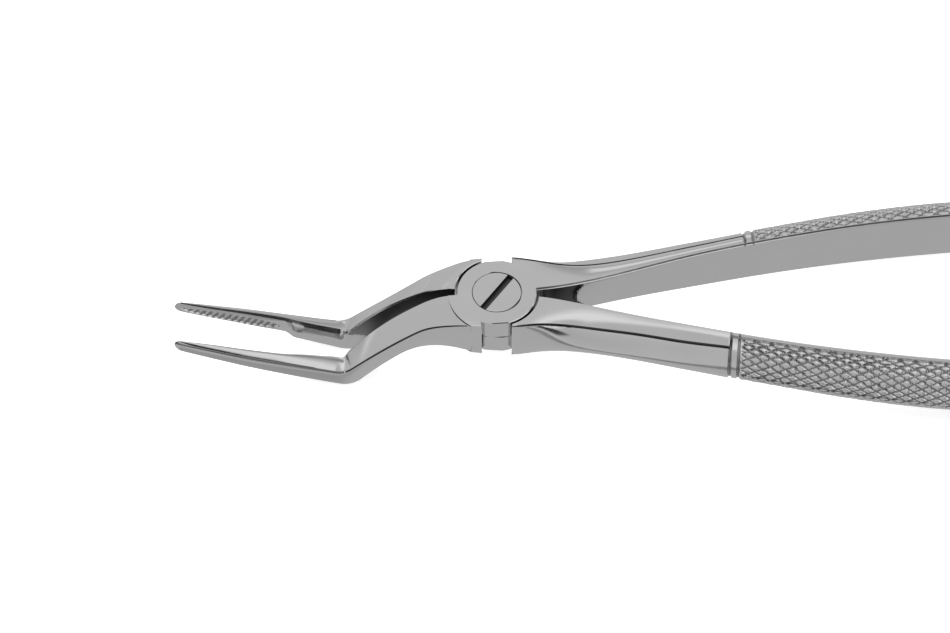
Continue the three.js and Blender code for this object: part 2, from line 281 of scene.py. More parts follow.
def handle_section(x, grip_x):
    """Measures of the neck and grip at stations x; the ring grooves lie just before grip_x."""
    end = np.sqrt(1 - np.clip((x - HANDLE_END_X + HANDLE_ROUND) / HANDLE_ROUND, 0, 0.985) ** 2)
    first_groove = grip_x + RING_GROOVES[0][0]
    grip = smooth((x - first_groove + 0.25) / 0.5)
    neck_x = np.minimum(x, NECK_END_X)
    inner = handle_inner(x)
    level = smooth((x - LAP_END_X) / 3)
    half = mix(HALF_JOINT, handle_half(x), level)
    groove = np.zeros_like(x)
    for at, width, depth in RING_GROOVES:
        away = (x - grip_x - at) / width
        groove = groove + depth * np.sqrt(np.maximum(1 - away**2, 0))
    edge = mix(neck_edge(neck_x) - inner, GRIP_EDGE_RISE, grip)
    thickness = grip_thickness(np.maximum(x, 40))
    crown = mix(neck_crown(neck_x), thickness - GRIP_EDGE_RISE, grip) - groove
    edge_half = mix(neck_edge_half(neck_x), half - GRIP_EDGE_DROP, grip) - groove * 0.6
    centre = inner + thickness / 2
    valley = smooth((x - 3) / 3) * (1 - grip)
    return {
        "middle": np.zeros_like(x),
        "inner": mix(centre, inner, end),
        "edge": mix(centre, inner + edge, end),
        "crown": crown * end,
        "up": half * end,
        "down": half * end,
        "edge_up": edge_half * end,
        "edge_down": edge_half * end,
        "cut_y": 0.34 * end,
        "cut_z": 0.4 * end,
        "facet_y": FACET_MIN * end,
        "facet_z": 0.06 * end,
        "cut_down": 0.3 * end,
        "power": mix(8, 2, smooth((x - 3) / 15)),
        "groove": (0.26 + 0.16 * smooth((x - 6) / 1) * smooth((14 - x) / 1)) * valley,
        "ring": groove,
        "tilt": 0.46 * valley * end,
    }


# ---------------------------------------------------------------- outlines

CREASE_WIDTH = 0.22
CUT_POINTS = 5  # columns of the facet and the chamfer
ARC_REACH = 0.56  # handles of the outer arc's Bezier curve
# The second and fourth steels are darker copies of the polished one: painted shade and painted dark
# reflections in creases, grooves, the slot and between the shanks.
POLISHED, CREVICE_SHADE, GROUND, RECESS_SHADE = 0, 1, 2, 3  # places in STEELS
ON_FACE = 1e-5

# Where the darker steels of painted shade begin: grooves at least this deep, and shares of the teeth's
# and pads' depth.
BEAK_CREASE_DEPTH = 0.2
NECK_CREASE_DEPTH = 0.03
TOOTH_VALLEY = 0.45
PAD_GROOVE = 0.6
RING_BOTTOM = 0.85

# Columns of the inner face, of the side and of the outer arc, on one side of the middle.
BEAK_COUNTS = 15, 13, 14
HANDLE_COUNTS = 8, 13, 48
LAND_COUNTS = 6, 12, 16


def half_outline(s, way, counts):
    """Points from the middle of the inner face, over the upper or lower side, to the middle of the arc.

    Between the inner face and the side are a steep facet and a chamfer, both straight, so that their
    folds stay sharp. power is how late the side rolls off towards the crease at its edge, and tilt how
    steeply the outer arc already falls where it leaves the crease.
    """
    face_n, side_n, arc_n = counts
    if way == "up":
        names = "up", "edge_up", "cut_y", "cut_z", "facet_y", "facet_z", "tilt"
        height, edge_height, cut_y, cut_z, facet_y, facet_z, tilt = (s[n][:, None] for n in names)
    else:
        height, edge_height, cut_y = (s[n][:, None] for n in ("down", "edge_down", "cut_down"))
        cut_z, facet_y, facet_z, tilt = cut_y, cut_y * 0.1, cut_y * 0.2, 0.0
    names = "inner", "edge", "crown", "power", "groove"
    inner, edge, crown, power, groove = (s[n][:, None] for n in names)
    run = np.maximum(edge - inner, 1e-4)
    cut_y, cut_z = np.minimum(cut_y, run * 0.5), np.minimum(cut_z, height * 0.3)
    facet_y, facet_z = np.minimum(facet_y, cut_y * 0.7), np.minimum(facet_z, height * 0.62)
    width = np.minimum(CREASE_WIDTH, np.minimum(run * 0.2, crown * 0.4))

    def side_height(y):
        t = np.clip((y - inner - cut_y) / (run - cut_y), 0, 1)
        return height - (height - edge_height) * t**power

    rim = side_height(inner + cut_y)
    fold = rim - cut_z
    t = np.linspace(0, 1, face_n, endpoint=False)[None]
    face = inner + 0 * t, (fold - facet_z) * t
    y1, z1 = inner + facet_y, fold
    rise = rim - fold
    y_end = inner + cut_y
    cut_ys = [inner + 0 * run, y1 - 0.5 * facet_y, y1, mix(y1, y_end, 0.4), mix(y1, y_end, 0.8)]
    cut_zs = [z1 - facet_z, z1 - 0.5 * facet_z, z1, z1 + rise * 0.4, z1 + rise * 0.8]
    cut = np.concatenate(cut_ys, 1), np.concatenate(cut_zs, 1)

    t = np.linspace(0, 1, side_n)[None]
    side_y = mix(inner + cut_y, edge - width, t)
    side = side_y, side_height(side_y)

    tilt = np.minimum(tilt, 0.8 * edge_height / np.maximum(crown, 1e-4))
    t = np.linspace(0, 1, arc_n + 1)[None]
    t = mix(t, smooth(t), 0.3)
    y1, z1 = ARC_REACH * crown, edge_height - ARC_REACH * tilt * crown
    y2, z2 = crown, (1 - ARC_REACH) * (edge_height - tilt * crown)
    u = 1 - t
    arc_y = edge + 3 * u**2 * t * y1 + 3 * u * t**2 * y2 + t**3 * crown
    arc_z = u**3 * edge_height + 3 * u**2 * t * z1 + 3 * u * t**2 * z2
    start = np.maximum(arc_y, edge + width)
    arc_z = np.where(arc_y < edge + width, edge_height - tilt * width * 0.6, arc_z)
    bottom = edge, edge_height - groove
    arc = start, arc_z
    parts = (face, cut, side, bottom, arc)
    return np.concatenate([q[0] for q in parts], 1), np.concatenate([q[1] for q in parts], 1)


def outline(s, counts):
    """Closed outlines, one row for each station: y and z, and the material of each column."""
    face_n, side_n, arc_n = counts
    up = half_outline(s, "up", counts)
    down = half_outline(s, "down", counts)
    y = np.concatenate([up[0], down[0][:, -2:0:-1]], 1)
    z = np.concatenate([up[1], -down[1][:, -2:0:-1]], 1)
    half = np.zeros(up[0].shape[1], int)
    half[: face_n] = GROUND
    # The two columns at the crease take the near-black steel: painted shade along the crease's valley.
    crease = face_n + CUT_POINTS + side_n - 1
    half[crease : crease + 2] = CREVICE_SHADE
    columns = np.concatenate([half[:-1], half[-2::-1]])
    return y, z + s["middle"][:, None], columns


def shrink(y, z, amount):
    """Moves each outline inwards by its own amount."""
    dy = np.roll(y, -1, 1) - np.roll(y, 1, 1)
    dz = np.roll(z, -1, 1) - np.roll(z, 1, 1)
    length = np.maximum(np.hypot(dy, dz), 1e-9)
    return y + amount[:, None] * dz / length, z - amount[:, None] * dy / length


# ---------------------------------------------------------------- meshes


STEELS = []


def mesh_object(name, points, faces, materials=None):
    mesh = bpy.data.meshes.new(name)
    mesh.from_pydata(np.asarray(points).tolist(), [], faces)
    for material in STEELS:
        mesh.materials.append(material)
    if materials is not None:
        mesh.polygons.foreach_set("material_index", materials)
    mesh.update()
    obj = bpy.data.objects.new(name, mesh)
    bpy.context.scene.collection.objects.link(obj)
    return obj


def loft(name, x, y, z, materials, mirrored=False):
    """Closed solid through rings at stations x. materials has one row less than there are stations.

    mirrored is for outlines that run the other way round, so that the faces still look outwards.
    """
    rows, cols = y.shape
    rings = np.stack([np.repeat(x[:, None], cols, 1), y, z], 2)
    points = np.concatenate([rings.reshape(-1, 3), [rings[0].mean(0), rings[-1].mean(0)]])
    faces = []
    for i in range(rows - 1):
        for j in range(cols):
            k = (j + 1) % cols
            faces.append((i * cols + j, (i + 1) * cols + j, (i + 1) * cols + k, i * cols + k))
    last = (rows - 1) * cols
    for j in range(cols):
        k = (j + 1) % cols
        faces.append((rows * cols, j, k))
        faces.append((rows * cols + 1, last + k, last + j))
    flat = np.concatenate([np.asarray(materials, int).ravel(), np.zeros(2 * cols, int)])
    solid = mesh_object(name, points, faces, flat)
    if mirrored:
        solid.data.flip_normals()
    return solid


def lathe(name, profile, segments=160, centre=(0, 0), material=POLISHED):
    """Upright solid from (radius, z, flat) points, bottom to top. A flat clips its ring at y = +-flat."""
    angles = np.linspace(0, 2 * np.pi, segments, endpoint=False)
    rings = []
    for radius, z, clip in profile:
        px, py = radius * np.cos(angles), radius * np.sin(angles)
        if clip is not None:
            py = np.clip(py, -clip, clip)
        rings.append(np.stack([px + centre[0], py + centre[1], 0 * px + z], 1))
    points = np.concatenate(rings + [[[*centre, profile[0][1]]], [[*centre, profile[-1][1]]]])
    faces = []
    for i in range(len(profile) - 1):
        for j in range(segments):
            k = (j + 1) % segments
            a, b = i * segments, (i + 1) * segments
            faces.append((a + j, a + k, b + k, b + j))
    bottom, top = len(profile) * segments, len(profile) * segments + 1
    last = (len(profile) - 1) * segments
    for j in range(segments):
        k = (j + 1) % segments
        faces.append((bottom, k, j))
        faces.append((top, last + j, last + k))
    return mesh_object(name, points, faces, np.full(len(faces), material))


def boolean(target, tool, operation):
    modifier = target.modifiers.new("cut", "BOOLEAN")
    modifier.operation = operation
    modifier.object = tool
    modifier.solver = "MANIFOLD"
    graph = bpy.context.evaluated_depsgraph_get()
    result = bpy.data.meshes.new_from_object(target.evaluated_get(graph))
    target.modifiers.clear()
    old = target.data
    target.data = result
    bpy.data.meshes.remove(old)
    bpy.data.objects.remove(tool)
    return target


# ---------------------------------------------------------------- the halves


def knurl(u, v):
    """Height from 0 in the grooves to 1 on the diamond pads, for pattern coordinates in periods.

    Each pad has its own small lift and lean, the same at every run.
    """
    a, b = u + v, u - v
    edge = np.minimum(1 - 2 * np.abs(a % 1 - 0.5), 1 - 2 * np.abs(b % 1 - 0.5))
    seed = np.floor(a) * 12.9898 + np.floor(b) * 78.233
    lift = (np.sin(seed) * 43758.5453) % 1
    lean = (np.sin(seed + 1.7) * 24634.6345) % 1 - 0.5
    top = 1 - 0.1 * lift + 0.14 * lean * (a % 1 - b % 1)
    return np.clip(edge / 0.5, 0, 1) ** 0.9 * top


def spread(*parts):
    return np.unique(np.round(np.concatenate(parts), 4))


def make_beak(crease):
    x = spread(
        TIP_X + TIP_ROUND * (1 - np.cos(np.linspace(0, np.pi / 2, 9))) * 0.7,
        np.arange(TEETH_START_X - 0.3, TEETH_END_X + 0.5, TOOTH_PITCH / 10),
        np.arange(TEETH_END_X + 0.6, STEP_X + STEP_RAMP + 0.3, 0.15),
        np.arange(STEP_X + STEP_RAMP + 0.5, BEND_X - 2, 0.4),
        np.arange(BEND_X - 2, BEND_X + 2, 0.1),
        np.arange(BEND_X + 2.2, -SHOULDER_X - 0.4, 0.35),
        [-SHOULDER_X - RIM_CHAMFER, -SHOULDER_X],
    )
    s = beak_section(x, crease)
    y, z, columns = outline(s, BEAK_COUNTS)
    y, z = shrink(y, z, np.where(x > -SHOULDER_X - 1e-6, RIM_CHAMFER, 0.0))

    # Serrations: an oval scoop in the inner face with slanted teeth across it.
    face = np.abs(y - s["inner"][:, None]) < ON_FACE
    reach = np.maximum((s["up"] + s["down"])[:, None] * SCOOP_SHARE - 0.1, 0.05)
    across = z - (s["middle"] - s["down"])[:, None] - reach - 0.15
    along = (x - (TEETH_START_X + TEETH_END_X) / 2) / ((TEETH_END_X - TEETH_START_X) / 2)
    oval = np.sqrt(np.maximum(1 - np.abs(along) ** SCOOP_ROUNDNESS, 0))[:, None] * reach
    inside = smooth((oval - np.abs(across)) / 0.3) * face
    phase = ((x[:, None] - TOOTH_LEAN * across) / TOOTH_PITCH) % 1
    tooth = 0.5 - 0.5 * np.cos(2 * np.pi * phase)
    y = y + inside * (SCOOP_DEPTH + TOOTH_DEPTH * tooth)
    # Painted shade and painted dark reflections: beyond the bend the inner face down to a set height, the
    # valleys of the teeth and the front beak's shallow crease take darker steel; elsewhere a shallow
    # crease stays polished.
    materials = np.repeat(columns[None], len(x) - 1, 0)
    materials[x[:-1] > BEND_X] = np.where(columns == GROUND, RECESS_SHADE, columns)
    upper = z[:-1] > INNER_SHADE_LOW_Z
    materials = np.where((materials == RECESS_SHADE) & ~upper, GROUND, materials)
    valley = (tooth < TOOTH_VALLEY) & (inside > 0.6)
    materials[valley[:-1]] = RECESS_SHADE
    bare = (s["groove"][:-1] < BEAK_CREASE_DEPTH) & (s["groove"][1:] < BEAK_CREASE_DEPTH)
    faint = np.where((x[:-1] < BEND_X) & (crease == FRONT_CREASE), RECESS_SHADE, POLISHED)[bare, None]
    materials[bare] = np.where(materials[bare] == CREVICE_SHADE, faint, materials[bare])
    return loft("beak", x, -y, z, materials, mirrored=True)


def make_handle(grip_x):
    rings = [grip_x + at + np.linspace(-1.15, 1.15, 21) * width for at, width, _ in RING_GROOVES]
    x = spread(
        [SHOULDER_X, SHOULDER_X + RIM_CHAMFER],
        np.arange(SHOULDER_X + 0.4, grip_x - 2.6, 0.4),
        *rings,
        np.arange(grip_x + 0.1, GRIP_END_X, KNURL_LENGTH / 13),
        np.arange(GRIP_END_X, HANDLE_END_X - HANDLE_ROUND, 0.4),
        HANDLE_END_X - HANDLE_ROUND + HANDLE_ROUND * np.sin(np.linspace(0, 1.4, 14)),
    )
    s = handle_section(x, grip_x)
    face_n, side_n, arc_n = HANDLE_COUNTS
    y, z, columns = outline(s, HANDLE_COUNTS)
    y, z = shrink(y, z, np.where(x < SHOULDER_X + 1e-6, RIM_CHAMFER, 0.0))
    dy = np.roll(y, -1, 1) - np.roll(y, 1, 1)
    dz = np.roll(z, -1, 1) - np.roll(z, 1, 1)
    length = np.maximum(np.hypot(dy, dz), 1e-9)

    # Knurl: diamond pads over the outer arc and most of the two sides.
    side_first = face_n + CUT_POINTS
    outermost = side_first + side_n + arc_n + 1
    steps = np.hypot(np.diff(y, axis=1), np.diff(z, axis=1))
    along = np.concatenate([np.zeros((len(x), 1)), np.cumsum(steps, 1)], 1)
    around = along - along[:, outermost : outermost + 1]
    side_start = np.abs(around[:, side_first]) - KNURL_MARGIN
    ends = smooth((x - grip_x - 0.05) / 0.2) * smooth((GRIP_END_X - x) / 0.4)
    inside = smooth((side_start[:, None] - np.abs(around)) / 0.2) * ends[:, None]
    inside[:, : side_first - 1] = 0
    inside[:, -face_n - 3 :] = 0
    pads = knurl((x[:, None] - grip_x) / KNURL_LENGTH, around / KNURL_WIDTH)
    press = KNURL_DEPTH * inside * (1 - pads)
    y, z = y + press * dz / length, z - press * dy / length
    pressed = press[:-1] + press[1:]
    pressed = pressed + np.roll(pressed, -1, 1)

    # Nearer the joint the inner face is cut back, up to a rounded border.
    face = np.abs(y - s["inner"][:, None]) < ON_FACE
    border = RELIEF_END_X + 0.16 * z**2
    relief = smooth((border - x[:, None]) / 0.6) * smooth((x[:, None] - 8) / 2.5)
    y = y + RELIEF_DEPTH * relief * face
    # Painted shade: the cut-back takes the near-black steel, the crease keeps it only where it is deep,
    # and the bottoms of the ring grooves and of the knurl's grooves take the darker steel.
    materials = np.repeat(columns[None], len(x) - 1, 0)
    cut = (relief[:-1] > 0.05) & (columns == GROUND)[None]
    materials[cut] = CREVICE_SHADE
    bare = (s["groove"][:-1] < NECK_CREASE_DEPTH) & (s["groove"][1:] < NECK_CREASE_DEPTH)
    creases = (np.arange(len(columns)) > side_first) & (columns == CREVICE_SHADE)
    materials[np.ix_(bare, creases)] = POLISHED
    deep = s["ring"][:-1] + s["ring"][1:] > 2 * RING_BOTTOM * RING_GROOVES[0][2]
    materials[np.ix_(deep, columns != GROUND)] = RECESS_SHADE
    materials[pressed > 4 * PAD_GROOVE * KNURL_DEPTH] = RECESS_SHADE
    return loft("handle", x, y, z, materials)


def plate_profile(bottom, top, chamfer_bottom, chamfer_top):
    c = RIM_CHAMFER
    profile = [(PLATE_RADIUS - c * chamfer_bottom, bottom, PLATE_FLAT - c * chamfer_bottom)]
    if chamfer_bottom:
        profile.append((PLATE_RADIUS, bottom + c, PLATE_FLAT))
    if chamfer_top:
        profile.append((PLATE_RADIUS, top - c, PLATE_FLAT))
    profile.append((PLATE_RADIUS - c * chamfer_top, top, PLATE_FLAT - c * chamfer_top))
    return profile


def make_half(name, side, plate, grip_x):
    """side: where the handle lies. plate: +1 with the plate under the screw head, -1 behind."""
    far = HALF_JOINT + 1
    c = RIM_CHAMFER
    gap = PLATE_GAP / 2
    solid = make_beak(FRONT_CREASE if plate > 0 else REAR_CREASE)
    solid = boolean(solid, make_handle(grip_x), "UNION")

    # Land: the flat round the joint on the beak side, ending in a shallow circular step.
    x = np.array([-LAND_RADIUS - 0.5, -7, -5.2, -SHOULDER_X - c, -SHOULDER_X])
    s = beak_section(x)
    for key in ("up", "down"):
        s[key] = np.full_like(x, HALF_JOINT)
    s["middle"] = 0 * x
    s["edge_up"] = HALF_JOINT - upper_edge_drop(x) * 0.35
    s["edge_down"] = HALF_JOINT - lower_edge_rise(x) * 0.35
    s["groove"] = 0 * x
    s["power"] = 0 * x + 8
    y, z, columns = outline(s, LAND_COUNTS)
    y, z = shrink(y, z, np.where(x > -SHOULDER_X - 1e-6, c, 0.0))
    land = loft("land", x, -y, z, np.zeros((len(x) - 1, len(columns))), mirrored=True)
    # The step's wall takes the near-black steel: painted shade along the step.
    ring = lathe("ring", [(LAND_RADIUS, -far, None), (LAND_RADIUS, far, None)], 240, material=CREVICE_SHADE)
    solid = boolean(solid, boolean(land, ring, "INTERSECT"), "UNION")

    r = RECESS_RADIUS
    if plate > 0:
        pocket = [(r + c, -far, None), (r + c, -HALF_JOINT, None),
                  (r, -HALF_JOINT + c, None), (r, gap, None)]
        plate_shape = plate_profile(gap, HALF_JOINT, 0, 1)
    else:
        pocket = [(r, -gap, None), (r, HALF_JOINT - c, None),
                  (r + c, HALF_JOINT, None), (r + c, far, None)]
        plate_shape = plate_profile(-HALF_JOINT, -gap, 1, 0)
    solid = boolean(solid, lathe("pocket", pocket, 240), "DIFFERENCE")
    solid = boolean(solid, lathe("plate", plate_shape, 240), "UNION")
    bore = SHANK_RADIUS + BORE_CLEARANCE
    solid = boolean(solid, lathe("bore", [(bore, -far, None), (bore, far, None)], 96), "DIFFERENCE")
    if plate > 0:
        seat = HALF_JOINT - HEAD_HEIGHT - BORE_CLEARANCE
        profile = [(SEAT_RADIUS, seat, None), (SEAT_RADIUS, HALF_JOINT - 0.06, None),
                   (SEAT_RADIUS + 0.06, HALF_JOINT, None), (SEAT_RADIUS + 0.06, far, None)]
        solid = boolean(solid, lathe("seat", profile, 160, (SEAT_SHIFT, 0)), "DIFFERENCE")

    solid.name = solid.data.name = name
    if side < 0:
        solid.data.transform(Matrix.Diagonal((1, -1, 1, 1)))
        solid.data.flip_normals()
    return solid


def make_screw():
    c = 0.12
    r = HEAD_RADIUS
    low = HALF_JOINT - HEAD_HEIGHT
    profile = [(SHANK_RADIUS - 0.25, -HALF_JOINT, None), (SHANK_RADIUS, -HALF_JOINT + 0.2, None),
               (SHANK_RADIUS, low, None), (r, low, None), (r, HALF_JOINT - c, None),
               (r - c * 0.4, HALF_JOINT - c * 0.25, None), (r - c, HALF_JOINT, None)]
    screw = lathe("joint_screw_finish", profile, 200)
    half = SLOT_WIDTH / 2
    floor_z, edge = HALF_JOINT - SLOT_DEPTH, 0.08
    outline_points = [(-half, floor_z), (half, floor_z),
                      (half, HALF_JOINT - edge), (half + edge, HALF_JOINT),
                      (half + 0.4, HALF_JOINT + 0.4), (-half - 0.4, HALF_JOINT + 0.4),
                      (-half - edge, HALF_JOINT), (-half, HALF_JOINT - edge)]
    n = len(outline_points)
    reach = HEAD_RADIUS + 2
    points = [(x, y, z) for x in (-reach, reach) for y, z in outline_points]
    faces = [tuple(range(n - 1, -1, -1)), tuple(range(n, 2 * n))]
    faces += [(i, (i + 1) % n, n + (i + 1) % n, n + i) for i in range(n)]
    # The slot's floor and walls take the near-black steel: painted shade inside the slot.
    inside = np.where(np.isin(np.arange(n + 2) - 2, (0, 1, n - 1)), CREVICE_SHADE, POLISHED)
    slot = mesh_object("slot", points, faces, inside)
    slot.data.transform(Matrix.Rotation(SLOT_ANGLE, 4, "Z"))
    return boolean(screw, slot, "DIFFERENCE")


SHARP_ANGLE = math.radians(22)
SQUARE_NORMAL = 0.99999


def sharpen_flats(mesh):
    """Marks the borders of faces that lie square across the pivot, so that they shade flat."""
    normals = np.empty(len(mesh.polygons) * 3)
    mesh.polygons.foreach_get("normal", normals)
    level = np.abs(normals.reshape(-1, 3)[:, 2]) > SQUARE_NORMAL
    starts = np.empty(len(mesh.polygons), int)
    mesh.polygons.foreach_get("loop_start", starts)
    edges = np.empty(len(mesh.loops), int)
    mesh.loops.foreach_get("edge_index", edges)
    owner = np.searchsorted(starts, np.arange(len(edges)), side="right") - 1
    flat = np.bincount(edges[level[owner]], minlength=len(mesh.edges))
    sharp = np.empty(len(mesh.edges), bool)
    mesh.attributes["sharp_edge"].data.foreach_get("value", sharp)
    mesh.attributes["sharp_edge"].data.foreach_set("value", sharp | (flat == 1))


def finish_shape(obj, turn):
    """Turns the piece to its place at rest, in metres, and gives it clean normals."""
    place = Matrix.Rotation(turn, 4, "Z")
    place.translation = Vector((0, 0, HALF_JOINT))
    obj.data.transform(Matrix.Scale(MM, 4) @ place)
    obj.data.polygons.foreach_set("use_smooth", [True] * len(obj.data.polygons))
    obj.data.set_sharp_from_angle(angle=SHARP_ANGLE)
    sharpen_flats(obj.data)
    weighted = obj.modifiers.new("normals", "WEIGHTED_NORMAL")
    weighted.keep_sharp = True
    weighted.weight = 60


# ---------------------------------------------------------------- materials


def nodes_of(material):
    material.use_nodes = True
    tree = material.node_tree
    tree.nodes.clear()
    return tree


def steel(name, color, roughness, streak):
    """Stainless steel with faint grinding streaks along X and soft polishing clouds."""
    material = bpy.data.materials.new(name)
    tree = nodes_of(material)
    new, link = tree.nodes.new, tree.links.new
    out = new("ShaderNodeOutputMaterial")
    shader = new("ShaderNodeBsdfPrincipled")
    shader.inputs["Metallic"].default_value = 1.0
    coords = new("ShaderNodeTexCoord")
    stretch = new("ShaderNodeMapping")
    stretch.inputs["Scale"].default_value = (60, 2600, 2600)
    link(coords.outputs["Object"], stretch.inputs["Vector"])
    streaks = new("ShaderNodeTexNoise")
    streaks.inputs["Scale"].default_value = 1.0
    streaks.inputs["Detail"].default_value = 3.0
    link(stretch.outputs["Vector"], streaks.inputs["Vector"])
    clouds = new("ShaderNodeTexNoise")
    clouds.inputs["Scale"].default_value = 160.0
    clouds.inputs["Detail"].default_value = 2.0
    link(coords.outputs["Object"], clouds.inputs["Vector"])

    grain = new("ShaderNodeMix")
    grain.inputs["Factor"].default_value = 0.5
    link(streaks.outputs["Fac"], grain.inputs["A"])
    link(clouds.outputs["Fac"], grain.inputs["B"])
    rough = new("ShaderNodeMapRange")
    rough.inputs["From Min"].default_value = 0.3
    rough.inputs["From Max"].default_value = 0.7
    rough.inputs["To Min"].default_value = roughness - 0.035
    rough.inputs["To Max"].default_value = roughness + 0.045
    link(grain.outputs["Result"], rough.inputs["Value"])
    link(rough.outputs["Result"], shader.inputs["Roughness"])

    tone = new("ShaderNodeMix")
    tone.data_type = "RGBA"
    tone.inputs["A"].default_value = (*[c * 0.94 for c in color], 1)
    tone.inputs["B"].default_value = (*color, 1)
    link(clouds.outputs["Fac"], tone.inputs["Factor"])
    link(tone.outputs["Result"], shader.inputs["Base Color"])

    bump = new("ShaderNodeBump")
    bump.inputs["Strength"].default_value = streak
    bump.inputs["Distance"].default_value = 0.00002
    link(streaks.outputs["Fac"], bump.inputs["Height"])
    link(bump.outputs["Normal"], shader.inputs["Normal"])
    link(shader.outputs["BSDF"], out.inputs["Surface"])
    return material


# ---------------------------------------------------------------- the pieces

STEELS.append(steel("polished_steel", (0.62, 0.62, 0.625), 0.14, 0.12))
# Painted shade: the crevice and recess steels are near-black and dark-grey steel standing for shade and
# dark reflections, not for the steel's own colour.
STEELS.append(steel("crevice_shade_steel", (0.1, 0.1, 0.1), 0.42, 0.3))
STEELS.append(steel("ground_steel", (0.6, 0.6, 0.605), 0.24, 0.35))
STEELS.append(steel("recess_shade_steel", (0.27, 0.27, 0.275), 0.3, 0.2))

front = make_half("front_half_finish", 1, 1, FRONT_GRIP_X)
rear = make_half("rear_half_finish", -1, -1, REAR_GRIP_X)
screw = make_screw()

finish_shape(front, REST_OPENING / 2)
finish_shape(rear, -REST_OPENING / 2)
finish_shape(screw, 0)

for obj, node, body, slot in (
    (front, "front_half", "front_body", "front_half_steel"),
    (rear, "rear_half", "rear_body", "rear_half_steel"),
    (screw, "joint_screw", "rear_body", "screw_steel"),
):
    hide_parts(node)
    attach(obj, body)

# ---------------------------------------------------------------- floor, light and camera

RESTING_X = 40

# Brightness of the studio by the angle round the X axis, from straight up towards the viewer.
SKY_BY_ANGLE = (
    (-130, 0.45), (-96, 0.48), (-84, 0.6), (-60, 0.72), (-44, 0.9), (-30, 0.95), (-18, 1.2), (-8, 1.4),
    (6, 1.4), (18, 0.85), (40, 0.78), (66, 0.82), (80, 0.9), (86, 0.35), (93, 0.33), (102, 0.5),
    (120, 0.5),
)


def resting_line(objects):
    """Slope and height at x = 0 of the plane that the beaks' bends and the handles' ends rest on."""
    points = np.concatenate([[tuple(v.co) for v in o.data.vertices] for o in objects])
    left = points[points[:, 0] < 0]
    right = points[points[:, 0] > RESTING_X * MM]
    slope = 0.0
    for _ in range(8):
        a = left[np.argmin(left[:, 2] - slope * left[:, 0])]
        b = right[np.argmin(right[:, 2] - slope * right[:, 0])]
        slope = (b[2] - a[2]) / (b[0] - a[0])
    return slope, a[2] - slope * a[0]


def sheet(name, size, lift, slope, height):
    half = size / 2
    corners = [(-half, -half), (half, -half), (half, half), (-half, half)]
    points = [(x, y, height + slope * x + lift) for x, y in corners]
    obj = mesh_object(name, points, [(0, 1, 2, 3)])
    obj.data.materials.clear()
    return obj


slope, height = resting_line([front, rear])
floor = sheet("floor", 6.0, -0.0002, slope, height)
floor_material = bpy.data.materials.new("floor_white")
tree = nodes_of(floor_material)
floor_out = tree.nodes.new("ShaderNodeOutputMaterial")
floor_shader = tree.nodes.new("ShaderNodeBsdfPrincipled")
floor_shader.inputs["Base Color"].default_value = (0.93, 0.93, 0.93, 1)
floor_shader.inputs["Roughness"].default_value = 0.9
floor_shader.inputs["Specular IOR Level"].default_value = 0.1
floor_shader.inputs["Emission Color"].default_value = (1, 1, 1, 1)
floor_shader.inputs["Emission Strength"].default_value = 0.62
tree.links.new(floor_shader.outputs["BSDF"], floor_out.inputs["Surface"])
floor.data.materials.append(floor_material)


def math_node(tree, operation, a, b=None):
    node = tree.nodes.new("ShaderNodeMath")
    node.operation = operation
    for socket, value in zip(node.inputs, (a, b)):
        if isinstance(value, (int, float)):
            socket.default_value = value
        elif value is not None:
            tree.links.new(value, socket)
    return node.outputs[0]


def step(tree, value, low, high):
    """0 before low and 1 after high, or the other way round where low is above high."""
    node = tree.nodes.new("ShaderNodeMapRange")
    node.interpolation_type = "SMOOTHSTEP"
    rising = low < high
    node.inputs["From Min"].default_value = min(low, high)
    node.inputs["From Max"].default_value = max(low, high)
    node.inputs["To Min"].default_value = 0.0 if rising else 1.0
    node.inputs["To Max"].default_value = 1.0 if rising else 0.0
    tree.links.new(value, node.inputs["Value"])
    return node.outputs["Result"]


def both(tree, *masks):
    product = masks[0]
    for mask in masks[1:]:
        product = math_node(tree, "MULTIPLY", product, mask)
    return product


def blend(tree, base, value, mask):
    """base where the mask is 0 and value where it is 1."""
    node = tree.nodes.new("ShaderNodeMix")
    tree.links.new(mask, node.inputs["Factor"])
    if isinstance(base, (int, float)):
        node.inputs["A"].default_value = base
    else:
        tree.links.new(base, node.inputs["A"])
    node.inputs["B"].default_value = value
    return node.outputs["Result"]


# A grey card on the floor that only the steel's reflections see.
card = sheet("grey_card", 3.0, -0.0001, slope, height)
card_material = bpy.data.materials.new("card_grey")
tree = nodes_of(card_material)
card_out = tree.nodes.new("ShaderNodeOutputMaterial")
card_shader = tree.nodes.new("ShaderNodeEmission")
card_shader.inputs["Color"].default_value = (1, 1, 1, 1)
tree.links.new(card_shader.outputs["Emission"], card_out.inputs["Surface"])
card_at = tree.nodes.new("ShaderNodeTexCoord")
card_xyz = tree.nodes.new("ShaderNodeSeparateXYZ")
tree.links.new(card_at.outputs["Object"], card_xyz.inputs[0])
card_x, card_y, _ = card_xyz.outputs
grey = blend(tree, 0.6, 0.3, step(tree, card_y, -0.06, -0.18))
grey = blend(tree, grey, 0.68, step(tree, card_y, 0.03, 0.08))
far_left = both(tree, step(tree, card_x, -0.075, -0.11), step(tree, card_y, 0.05, 0.02))
grey = blend(tree, grey, 0.06, far_left)
# Painted shadow: a near-black patch on the card under the joint, standing for the floor's shade beneath
# the object.
under = both(
    tree, step(tree, card_x, -0.026, -0.022), step(tree, card_x, 0.019, 0.013),
    step(tree, card_y, -0.006, -0.004), step(tree, card_y, 0.006, 0.003),
)
grey = blend(tree, grey, 0.05, under)
# Painted shadow: a darker patch on the card just in front of the beaks, standing for the floor's shade
# beside them.
shadow_before_beaks = both(
    tree, step(tree, card_x, -0.026, -0.03), step(tree, card_x, -0.066, -0.061),
    step(tree, card_y, -0.0045, -0.0065), step(tree, card_y, -0.024, -0.016),
)
grey = blend(tree, grey, 0.45, shadow_before_beaks)
tree.links.new(grey, card_shader.inputs["Strength"])
card.data.materials.append(card_material)
card.visible_camera = False
card.visible_diffuse = False
card.visible_shadow = False
card.visible_transmission = False


